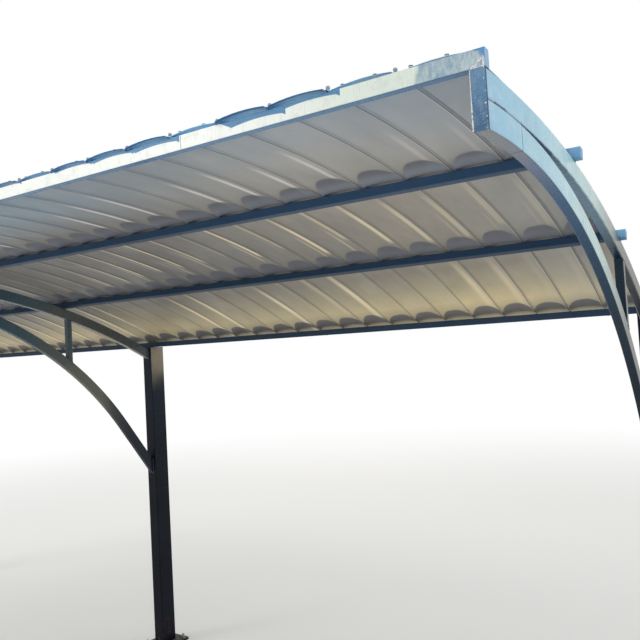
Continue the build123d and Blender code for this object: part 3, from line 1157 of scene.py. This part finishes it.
@dataclass(frozen=True)
class Seam:
    """Line that a weld follows."""

    points: tuple[Point, ...]
    width: float = 0.006
    closed: bool = False

    @staticmethod
    def ring(centre: Point, half_a: Point, half_b: Point, width: float) -> "Seam":
        """Make a seam round a rectangular tube.

        Args:
            centre: Middle of the ring.
            half_a: The way from the middle of the tube to the middle of one side.
            half_b: The way to the middle of the next side.
            width: Width of the bead.

        Returns:
            The closed seam, which takes the tube's corners a little short.
        """
        spots = [Vector(centre) + Vector(half_a) * a + Vector(half_b) * b for a, b in around(RING_CUT)]
        return Seam(tuple(tuple(spot) for spot in spots), width, True)


class SeamPattern(Pattern):
    """Pattern that works along seams."""

    def follow(self, name: str, seams: Sequence[Seam], **sizes: float) -> None:
        """Make a piece of the frame along some seams, whose widths become the curves' radii.

        Args:
            name: The piece's name.
            seams: The seams.
            sizes: Size inputs that differ from the usual.
        """
        curve = bpy.data.curves.new(f"{name}_seams", "CURVE")
        curve.dimensions = "3D"
        for seam in seams:
            spline = curve.splines.new("POLY")
            spline.points.add(len(seam.points) - 1)
            for spot, place in zip(spline.points, seam.points):
                spot.co = (*place, 1.0)
                spot.radius = seam.width / 2
            spline.use_cyclic_u = seam.closed
        self.make(name, curve, "frame_paint", **sizes)


class WeldPattern(SeamPattern):
    """Bead with the ripples of a hand weld along every seam."""

    ripple_depth: float = 0.22          # how much thinner the bead is between two ripples
    grain: float = 160.0                # waves of its unevenness per metre
    thinnest: float = 0.25              # share of its thickness that it keeps everywhere

    def __init__(self, name: str, finish: Finishes) -> None:
        """Build the tree.

        Args:
            name: The tree's name.
            finish: Finish of the bead.
        """
        super().__init__(name, Step=0.0016, Ripple=0.0042, Unevenness=0.35)
        carrier, step, ripple, uneven = self.entry
        line = self.give("GeometryNodeResampleCurve", {"Curve": carrier, "Length": step}, mode="LENGTH")
        run = self.add("GeometryNodeSplineParameter").outputs["Length"]
        turn = self.times(self.math("DIVIDE", run, ripple), math.pi)
        wave = self.math("MULTIPLY_ADD", self.math("ABSOLUTE", self.math("SINE", turn)),
                         self.ripple_depth, 1.0 - self.ripple_depth)
        where = self.give("GeometryNodeInputPosition")
        cloud = self.give("ShaderNodeTexNoise", {"Vector": where, "Scale": self.grain, "Detail": 3.0})
        blot = self.math("MULTIPLY_ADD", self.less(cloud, 0.5), self.times(uneven, 4.0), 1.0)
        size = self.times(self.give("GeometryNodeInputRadius"), wave, self.most(blot, self.thinnest))
        profile = self.give("GeometryNodeCurvePrimitiveCircle", {"Resolution": 7, "Radius": 1.0})
        bead = self.give("GeometryNodeCurveToMesh", {"Curve": line, "Scale": size, "Profile Curve": profile,
                         "Fill Caps": True})
        self.close(self.give("GeometryNodeSetShadeSmooth", {0: bead}), finish.material())


class SpatterPattern(SeamPattern):
    """Droplets of weld metal scattered beside every seam."""

    def __init__(self, finish: Finishes) -> None:
        """Build the tree.

        Args:
            finish: Finish of the droplets.
        """
        super().__init__("weld_spatter_pattern", Spacing=0.006, Spread=0.012, Drop=0.0013)
        carrier, spacing, spread_out, drop = self.entry
        line = self.give("GeometryNodeCurveToPoints", {"Curve": carrier, "Length": spacing}, mode="LENGTH")
        sway = self.give("ShaderNodeCombineXYZ", {0: self.times(self.random(-1.0, 1.0, 3), spread_out),
                                                  2: self.times(self.random(-1.0, 1.0, 7), spread_out)})
        moved = self.give("GeometryNodeSetPosition", {"Geometry": line, "Offset": sway})
        ball = self.give("GeometryNodeMeshIcoSphere", {"Radius": drop, "Subdivisions": 1})
        drops = self.give("GeometryNodeInstanceOnPoints", {"Points": moved, "Instance": ball,
                          "Scale": self.random(0.4, 1.3, 11)})
        self.close(drops, finish.material())


@dataclass(frozen=True)
class Turning:
    """One turned piece of a fastener."""

    profile: tuple[Pair, ...]           # radius and height of each ring, in millimetres
    sides: int
    finish: Finishes
    smooth: bool = False


class FastenerPattern(Pattern):
    """One fastener, set on every point of its carrier and spun at random about its own axis."""

    def __init__(self, name: str, *pieces: Turning) -> None:
        """Build the tree.

        Args:
            name: The tree's name.
            pieces: The turned pieces of the fastener.
        """
        super().__init__(name, Size=1.0)
        carrier, size = self.entry
        whole = self.add("GeometryNodeJoinGeometry")
        for piece in pieces:
            mesh = self.turned(piece.profile, piece.sides, piece.finish.material(), piece.smooth)
            self.tree.links.new(mesh, whole.inputs[0])
        lean = self.give("GeometryNodeInputNamedAttribute", {"Name": "lean"}, data_type="FLOAT")
        turn = self.give("ShaderNodeCombineXYZ", {0: lean})
        placed = self.give("GeometryNodeInstanceOnPoints", {"Points": carrier, "Instance": whole.outputs[0],
                           "Rotation": turn, "Scale": size})
        spin = self.give("ShaderNodeCombineXYZ", {2: self.random(0.0, math.tau, 5)})
        self.close(self.give("GeometryNodeRotateInstances", {"Instances": placed, "Rotation": spin}))

    def fasten(self, name: str, places: Sequence[tuple[Point, float]], slot: str) -> None:
        """Set the fastener on some places.

        Args:
            name: The piece's name.
            places: Each place with its lean in radians about the X axis.
            slot: The record's material slot.
        """
        mesh = bpy.data.meshes.new(f"{name}_points")
        mesh.from_pydata([place for place, _ in places], [], [])
        lean = mesh.attributes.new("lean", "FLOAT", "POINT")
        lean.data.foreach_set("value", [angle for _, angle in places])
        self.make(name, mesh, slot)


@dataclass
class Posts:
    """The three posts with their caps, base plates and anchor bolts."""

    line: RibLine
    width: float = 0.100
    depth: float = 0.150
    base_top: float = 0.015
    cap_under: float = 2.563
    anchors: Pair = (0.095, 0.120)
    foot_bead: float = 0.009
    cap_bead: float = 0.004
    stand_off: float = 0.002            # from the post's faces to the middle of the bead at its foot

    def seams(self) -> list[Seam]:
        """List the welds at the foot and the cap of every post."""
        found = []
        for x in self.line.stands:
            for z, bead, out in ((self.base_top + self.stand_off, self.foot_bead, self.stand_off),
                                 (self.cap_under, self.cap_bead, 0.0)):
                found.append(Seam.ring((x, 0, z), (self.width / 2 + out, 0, 0),
                                       (0, self.depth / 2 + out, 0), bead))
        return found

    def bolt_pattern(self) -> FastenerPattern:
        """Make the pattern of an anchor: threaded rod, washer and nut."""
        threads = [spot for low in spread(2.0, 47.0, 19) for spot in ((9.0, low), (9.9, low + 1.25))]
        rod = ((7.0, 1.0), *threads, (9.0, 49.5), (7.6, 51.0))
        washer = ((10.6, 15.1), (17.6, 15.1), (18.2, 15.6), (18.2, 17.6), (17.6, 18.1), (10.6, 18.1))
        nut = ((15.4, 18.2), (17.3, 19.4), (17.3, 33.0), (15.4, 34.2), (10.8, 34.2))
        return FastenerPattern("anchor_bolt_pattern", Turning(rod, 14, Finishes.ZINC),
                               Turning(washer, 22, Finishes.ZINC), Turning(nut, 6, Finishes.ZINC))

    def build(self) -> None:
        """Dress the posts and set their anchor bolts."""
        dress(PostEnamel().build(), "post", "base_plate")
        places = [((x + self.anchors[0] * a, self.anchors[1] * b, 0.0), 0.0)
                  for x in self.line.stands for a in SIDES for b in SIDES]
        self.bolt_pattern().fasten("anchor_bolts", places, "frame_paint")


@dataclass
class Ribs:
    """The chords, struts and nose plates, with the welds that hold them."""

    line: RibLine
    strut_middle: float = -0.880
    strut_half: float = 0.020
    strut_cut: float = 0.8              # where the welds round it leave one side for the next
    strut_out: float = 0.001            # how far they stand out before and behind it, and inside its sides
    chord_bead: float = 0.008
    chord_out: float = 0.0015           # from the chords' sides to the middle of their beads
    tack_bead: float = 0.0042
    nose_bead: float = 0.0028
    nose_sink: float = 0.0008           # how deep each kind of bead sits in the steel beside it
    stitch_sink: float = 0.0010
    outer_sink: float = 0.0007
    foot_gap: float = 0.002             # from the foot of a nose plate to its lowest tack
    spatter_inset: float = 0.004        # from the edges of a nose plate to the line of droplets
    stitch_runs: tuple[Pair, ...] = ((-2.742, -2.712), (-2.655, -2.615), (-2.560, -2.530))
    stitch_bead: float = 0.0055
    outer_bead: float = 0.0042

    def seams(self) -> list[Seam]:
        """List the painted welds of every rib."""
        line = self.line
        found = []
        for x in line.stands:
            for height in (line.upper, line.lower):
                top = height(line.post_front, line.half_height)
                low = height(line.post_front, -line.half_height)
                found.append(Seam.ring((x, line.post_front, (top + low) / 2),
                                       (line.half_width + self.chord_out, 0, 0),
                                       (0, 0, (top - low) / 2 + self.chord_out), self.chord_bead))
            found += self.strut_seams(x)
            found += self.stitches(x)
        return found

    def strut_seams(self, x: float) -> list[Seam]:
        """List the welds round both ends of one strut.

        Args:
            x: The rib's place along X.

        Returns:
            Two closed seams that follow the chords.
        """
        line = self.line
        corners = around(self.strut_cut)
        found = []
        for height, lift in ((line.upper, -line.half_height), (line.lower, line.half_height)):
            ring = []
            for a, b in corners[-1:] + corners[:-1]:
                y = self.strut_middle + (self.strut_half + self.strut_out) * b
                ring.append((x + (self.strut_half - self.strut_out) * a, y, height(y, lift)))
            found.append(Seam(tuple(ring), closed=True))
        return found

    def chord_seam(self, x: float, start: float, end: float, width: float) -> Seam:
        """Follow the line between the two chords on one side of a rib.

        Args:
            x: The side's place along X.
            start: Place along Y of the seam's front end.
            end: Place along Y of its rear end.
            width: Width of the bead.

        Returns:
            The seam.
        """
        return Seam(tuple((x, y, self.line.seam(y)) for y in spread(start, end, 8)), width)

    def stitches(self, x: float) -> list[Seam]:
        """List the short welds between the chords near the nose.

        Args:
            x: The rib's place along X.

        Returns:
            Stitches on each side of the rib that isn't the carport's end.
        """
        reach = self.line.half_width - self.stitch_sink
        edges = [x + side * reach for side in SIDES if x * side <= 0]
        return [self.chord_seam(edge, *run, self.stitch_bead) for edge in edges for run in self.stitch_runs]

    def outer_seams(self) -> list[Seam]:
        """List the welds between the chords on the outer faces of both end ribs, in the colour of their
        painted sky reflection.
        """
        line = self.line
        edge = line.bay + line.half_width - self.outer_sink
        runs = ((line.nose + 0.003, line.unwelded[0]), (line.unwelded[1], line.toe_end - 0.004))
        return [self.chord_seam(side * edge, *run, self.outer_bead) for side in SIDES for run in runs]

    def nose_edges(self, start: float, end: float, width: float) -> list[Seam]:
        """List bright welds up the inner edge of every nose plate.

        Args:
            start: Share of the edge's height where the weld starts.
            end: Share where it ends.
            width: Width of the bead.

        Returns:
            One seam for each rib.
        """
        line = self.line
        low = line.lower(line.nose, -line.half_height) + self.foot_gap
        heights = [low + (line.fascia_under - low) * share for share in spread(start, end, 9)]
        found = []
        for x in line.stands:
            edge = x + (line.half_width if x < 0 else -line.half_width)
            found.append(Seam(tuple((edge, line.nose + self.nose_sink, z) for z in heights), width))
        return found

    def spatter_lines(self) -> list[Seam]:
        """List the outer edges of the nose plates, where droplets stick."""
        line = self.line
        low = line.lower(line.nose, -line.half_height) + self.spatter_inset
        reach = line.half_width - self.spatter_inset
        edges = [x + (-reach if x < 0 else reach) for x in line.stands]
        return [Seam(((edge, line.nose, low), (edge, line.nose, line.fascia_under))) for edge in edges]

    def build(self) -> None:
        """Dress the ribs and set the bright welds of their noses and the welds on their outer faces,
        coloured like the painted sky reflection there.
        """
        dress(RibEnamel(line=self.line).build(), "upper_chord", "lower_chord", "strut")
        dress(MiddleRibEnamel().build(), "upper_chord_middle", "lower_chord_middle",
              "lower_chord_toe_middle")
        strut = Enamel("middle_strut_enamel", tones=((-0.91, (64, 82, 92)), (-0.85, (96, 104, 102))),
                       clouding=0.05, shine=0.2)
        dress(strut.build(), "strut_middle")
        dress(NoseEnamel(bay=self.line.bay).build(), "nose_plate")
        pattern = WeldPattern("nose_weld_pattern", Finishes.BARE_WELD)
        pattern.follow("nose_tacks", self.nose_edges(0.0, 0.52, self.tack_bead), Unevenness=0.9,
                       Ripple=0.007)
        pattern.follow("nose_seams", self.nose_edges(0.5, 1.0, self.nose_bead), Unevenness=0.1)
        WeldPattern("sky_reflection_weld_pattern", Finishes.SKY_REFLECTION_WELD).follow(
            "outer_seam_welds", self.outer_seams())
        SpatterPattern(Finishes.BARE_WELD).follow(
            "weld_spatter", self.spatter_lines(), Spread=0.002, Spacing=0.028, Drop=0.0022)


@dataclass
class LongMembers:
    """The fascia and the three purlins, with their end caps and welds."""

    line: RibLine
    fascia_depth: float = 0.030
    fascia_height: float = 0.048
    fascia_joint: float = 3.031
    frame_end: float = 4.020
    purlin: float = 0.040
    setbacks: Pair = (-1.820, -0.932)
    rear_y: float = -0.055
    rear_under: float = 2.568
    weld_reaches: Point = (0.020, 0.020, 0.045)     # along each purlin, to either side of a rib
    purlin_bead: float = 0.007
    joint_bead: float = 0.0026
    joint_sink: float = 0.0008          # how deep the beads of the fascia sit in its faces
    corner_sink: float = 0.0006
    back_reach: float = 0.018           # of the welds behind the fascia, to either side of a rib
    # each bead of the rough weld at a corner of the fascia: its spots, inwards and upwards, and width
    corner_beads: tuple[tuple[tuple[Pair, ...], float], ...] = (
        (((0.038, 0.0012), (0.020, 0.0012), (0.003, 0.0015)), 0.0036),
        (((0.0042, 0.002), (0.0044, 0.014), (0.0050, 0.026)), 0.0050),
        (((0.034, 0.0030), (0.022, 0.0095), (0.007, 0.022)), 0.0062),
        (((0.030, 0.0036), (0.024, 0.0050), (0.019, 0.0062)), 0.0070))

    def purlin_lines(self) -> list[Point]:
        """List each purlin's centre along Y and Z with its slope in radians."""
        line = self.line
        seat = line.upper_radius + line.half_height
        reach = seat + line.seat_gap + self.purlin / 2
        slopes = [math.asin((y - line.upper_centre[0]) / seat) for y in self.setbacks]
        found = [(line.upper_centre[0] + reach * math.sin(slope),
                  line.upper_centre[1] + reach * math.cos(slope), slope) for slope in slopes]
        return found + [(self.rear_y, self.rear_under + self.purlin / 2, 0.0)]

    def seams(self) -> list[Seam]:
        """List the painted welds of the long members."""
        line = self.line
        half = self.purlin / 2
        found = []
        for (y, z, slope), reach in zip(self.purlin_lines(), self.weld_reaches):
            for x in line.stands:
                for side in SIDES:
                    cy = y + side * half * math.cos(slope) - half * math.sin(slope)
                    cz = z - side * half * math.sin(slope) - half * math.cos(slope)
                    found.append(Seam(((x - reach, cy, cz), (x + reach, cy, cz)), self.purlin_bead))
        half_y, half_z = self.fascia_depth / 2, self.fascia_height / 2
        centre = (self.fascia_joint, line.nose + half_y, line.fascia_under + half_z)
        found.append(Seam.ring(centre, (0, half_y - self.joint_sink, 0), (0, 0, half_z - self.joint_sink),
                               self.joint_bead))
        back = line.nose + self.fascia_depth
        for x in line.stands:
            found.append(Seam(tuple((x + side * self.back_reach, back, line.fascia_under)
                                    for side in SIDES)))
        return found

    def corner_patch(self) -> list[Seam]:
        """List the bright beads of the rough weld at the fascia's end corners."""
        front = self.line.nose + self.corner_sink
        return [Seam(tuple((side * (self.frame_end - inward), front, self.line.fascia_under + up)
                           for inward, up in spots), width)
                for side in SIDES for spots, width in self.corner_beads]

    def build(self) -> None:
        """Dress the long members and set the rough corner welds."""
        dress(FasciaEnamel().build(), "fascia")
        dress(PurlinEnamel().build(), "purlin")
        WeldPattern("corner_weld_pattern", Finishes.BARE_WELD).follow(
            "corner_welds", self.corner_patch(), Unevenness=0.9)


@dataclass
class Roof:
    """The arched panels and the screws that hold them down."""

    members: LongMembers
    pattern: RoofPattern = RoofPattern()
    panel_count: int = 40
    lap_top: float = 0.0032             # top of the lapped flanges above what carries them
    single_top: float = 0.0017          # top of the single flange at both ends of the roof
    end_inset: float = 0.004            # how far inside that flange's line its screws stand
    front_sink: float = 0.0005          # the screws in the front laps sit this much deeper than the others
    shoulder: float = 0.005
    rise: float = 0.012
    sheet: float = 0.0012
    brow_centre: Pair = (-2.51142, -2.08051)
    brow_radius: float = 5.243
    edge_margin: float = 0.009          # from a panel's front edge to its first screws
    fascia_margins: Pair = (0.0065, 0.0015)     # least distance of those screws from its front and back
    crest_shares: Pair = (0.30, 0.80)   # where they stand across a panel

    def crest(self, share: float) -> float:
        """Find the height of a panel's top above its seat, at a share of its width."""
        return self.rise + self.sheet - (self.rise - self.shoulder) * (2 * share - 1) ** 2

    def front_screw(self, edge: float) -> Point:
        """Find where a screw near a panel's front edge goes into the fascia.

        Args:
            edge: Place of the panel's edge along Y.

        Returns:
            The screw's place along Y, height of the panel's seat there, and slope.
        """
        front = self.members.line.nose + self.fascia_margins[0]
        back = self.members.line.nose + self.members.fascia_depth - self.fascia_margins[1]
        y = min(max(edge + self.edge_margin, front), back)
        across = y - self.brow_centre[0]
        z = self.brow_centre[1] + math.sqrt(self.brow_radius**2 - across**2)
        return y, z, math.asin(across / self.brow_radius)

    def lap_screw(self, purlin: Point, x: float, end: int) -> tuple[Point, float]:
        """Find where the screw goes in where a lap crosses a purlin.

        Args:
            purlin: The purlin's centre along Y and Z with its slope.
            x: Place of the lap along X.
            end: 1 at the left end of the roof, -1 at its right end, 0 between them.

        Returns:
            The screw's place and lean.
        """
        y, z, slope = purlin
        reach = self.members.purlin / 2 + (self.single_top if end else self.lap_top)
        return (x + end * self.end_inset, y + reach * math.sin(slope), z + reach * math.cos(slope)), -slope

    def cap_pattern(self) -> FastenerPattern:
        """Make the pattern of a capped roofing screw in a lap."""
        washer = ((3.0, 0.0), (7.0, 0.0), (7.4, 0.8), (6.0, 2.0), (3.4, 2.8))
        cap = ((3.2, 2.2), (4.2, 4.2), (6.0, 6.4), (6.3, 10.4), (5.4, 13.0), (3.4, 14.5), (1.4, 15.0))
        return FastenerPattern("capped_screw_pattern", Turning(washer, 12, Finishes.WASHER, True),
                               Turning(cap, 12, Finishes.SCREW_CAP, True))

    def crest_pattern(self) -> FastenerPattern:
        """Make the pattern of a flat-headed screw on the arch of a panel."""
        washer = ((4.5, -0.4), (5.8, 0.2), (5.4, 1.8), (4.2, 2.8), (3.0, 3.0))
        head = ((4.6, 2.7), (6.2, 2.9), (6.4, 4.0), (5.4, 4.6), (2.0, 4.8))
        return FastenerPattern("crest_screw_pattern", Turning(washer, 10, Finishes.WASHER, True),
                               Turning(head, 10, Finishes.SCREW_HEAD))

    def build(self) -> None:
        """Dress the panels and set the screws."""
        dress(PanelMetal().build(), "roof_sheet")
        places = [self.pattern.right_edge - index * self.pattern.pitch
                  for index in range(self.panel_count + 1)]
        ends = [-1] + [0] * (self.panel_count - 1) + [1]
        laps = [self.lap_screw(purlin, x, end) for purlin in self.members.purlin_lines()
                for x, end in zip(places, ends)]
        crests = []
        last = math.inf
        for index, x in enumerate(places[:-1]):
            edge = self.pattern.front_edge(index, self.members.line.nose)
            if index:
                y, z, slope = self.front_screw(min(edge, last))
                laps.append(((x, y, z - self.front_sink + self.lap_top), -slope))
            y, z, slope = self.front_screw(edge)
            crests += [((x - share * self.pattern.pitch, y, z + self.crest(share)), -slope)
                       for share in self.crest_shares]
            last = edge
        self.cap_pattern().fasten("lap_screws", laps, "roof_sheet")
        self.crest_pattern().fasten("crest_screws", crests, "roof_sheet")


@dataclass(frozen=True)
class Lamp:
    """One soft square lamp."""

    name: str
    place: Point
    aim: Point
    power: float                        # watts
    colour: Point = (1.0, 1.0, 1.0)     # linear
    size: float = 7.0

    def hang(self) -> None:
        """Hang the lamp where it faces its aim."""
        light = bpy.data.lights.new(self.name, "AREA")
        light.size = self.size
        light.energy = self.power
        light.color = self.colour
        turn = (Vector(self.aim) - Vector(self.place)).to_track_quat("-Z", "Y").to_matrix().to_4x4()
        add_object(self.name, light).matrix_world = Matrix.Translation(self.place) @ turn


@dataclass
class Studio:
    """Pale floor, plain white surroundings, soft lamps and the camera."""

    camera_place: Point = (4.52, -4.34, 2.45)
    yaw: float = -32.38
    pitch: float = 2.63
    roll: float = -3.13
    lens: float = 38.6
    sensor: float = 36.0
    view_depth: float = 300.0
    floor_level: float = -0.001
    floor_half: float = 60.0
    floor_fade: Pair = (6.0, 16.0)      # the floor turns white between these distances
    world_level: float = 0.85
    lamps: tuple[Lamp, ...] = (
        Lamp("key_lamp", (-10.0, -13.0, 12.0), (0.0, -1.5, 2.2), 900.0),
        Lamp("fill_lamp", (13.0, -9.0, 7.0), (1.0, -1.5, 2.4), 160.0),
        Lamp("back_lamp", (-5.0, 13.0, 8.0), (0.0, -1.0, 2.4), 260.0, (1.0, 0.96, 0.9)))

    def seen(self, nodes: NodeBuilder) -> Socket:
        """Mark what the camera sees, straight, in a mirror or through glass.

        Args:
            nodes: The tree under construction.

        Returns:
            Socket that is 1 for such rays and 0 for the others.
        """
        path = nodes.add("ShaderNodeLightPath").outputs
        return nodes.most(*(path[f"Is {way} Ray"] for way in ("Camera", "Glossy", "Transmission")))

    def build_world(self) -> None:
        """Light the scene evenly, with a white backdrop for the camera and for reflections."""
        world = bpy.data.worlds.new("studio_world")
        bpy.context.scene.world = world
        world.use_nodes = True
        world.node_tree.nodes.clear()
        nodes = NodeBuilder(world.node_tree)
        soft, white = (nodes.give("ShaderNodeBackground", {"Color": WHITE, "Strength": level})
                       for level in (self.world_level, 1.0))
        mixed = nodes.give("ShaderNodeMixShader", {0: self.seen(nodes), 1: soft, 2: white})
        nodes.add("ShaderNodeOutputWorld", {"Surface": mixed})

    def build_floor(self) -> None:
        """Lay a pale floor that keeps the carport's shadow and turns white far away."""
        mesh = bpy.data.meshes.new("studio_floor")
        half = self.floor_half
        corners = [(a * half, b * half, self.floor_level)
                   for a, b in ((-1, -1), (1, -1), (1, 1), (-1, 1))]
        mesh.from_pydata(corners, [], [(0, 1, 2, 3)])
        finish = Finish("studio_floor")
        mesh.materials.append(finish.close((228, 228, 226), 0.9))
        far = finish.ease(finish.length(finish.x, finish.y), *self.floor_fade)
        glow = finish.give("ShaderNodeEmission", {"Color": WHITE, "Strength": 1.0})
        mixed = finish.give("ShaderNodeMixShader", {0: finish.times(far, self.seen(finish)),
                            1: finish.shader.outputs[0], 2: glow})
        finish.feed(finish.tree.nodes["Material Output"].inputs["Surface"], mixed)
        add_object("studio_floor", mesh)

    def build_camera(self) -> None:
        """Set the camera at the photograph's place and angle."""
        data = bpy.data.cameras.new("camera")
        data.lens = self.lens
        data.sensor_width = self.sensor
        data.clip_end = self.view_depth
        yaw, pitch, roll = (math.radians(angle) for angle in (self.yaw, self.pitch, self.roll))
        ahead = Vector((math.sin(yaw) * math.cos(pitch), math.cos(yaw) * math.cos(pitch), math.sin(pitch)))
        level = Vector((math.cos(yaw), -math.sin(yaw), 0.0))
        upright = level.cross(ahead)
        right = math.cos(roll) * level + math.sin(roll) * upright
        up = -math.sin(roll) * level + math.cos(roll) * upright
        turn = Matrix((right, up, -ahead)).transposed().to_4x4()
        camera = add_object("camera", data)
        camera.matrix_world = Matrix.Translation(self.camera_place) @ turn
        bpy.context.scene.camera = camera

    def build(self) -> None:
        """Set up everything that isn't the carport."""
        self.build_world()
        self.build_floor()
        for lamp in self.lamps:
            lamp.hang()
        self.build_camera()
        bpy.context.scene.view_settings.view_transform = "Standard"


def main() -> None:
    """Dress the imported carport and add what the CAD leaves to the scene."""
    logging.basicConfig(level=logging.INFO, format="%(message)s")
    line = RibLine()
    posts, ribs, members = Posts(line), Ribs(line), LongMembers(line)
    for assembly in (posts, ribs, members, Roof(members)):
        assembly.build()
        log.info("dressed %s", type(assembly).__name__)
    seams = posts.seams() + ribs.seams() + members.seams()
    WeldPattern("painted_weld_pattern", Finishes.PAINTED_WELD).follow("painted_welds", seams)
    Studio().build()


if __name__ == "__main__":
    main()
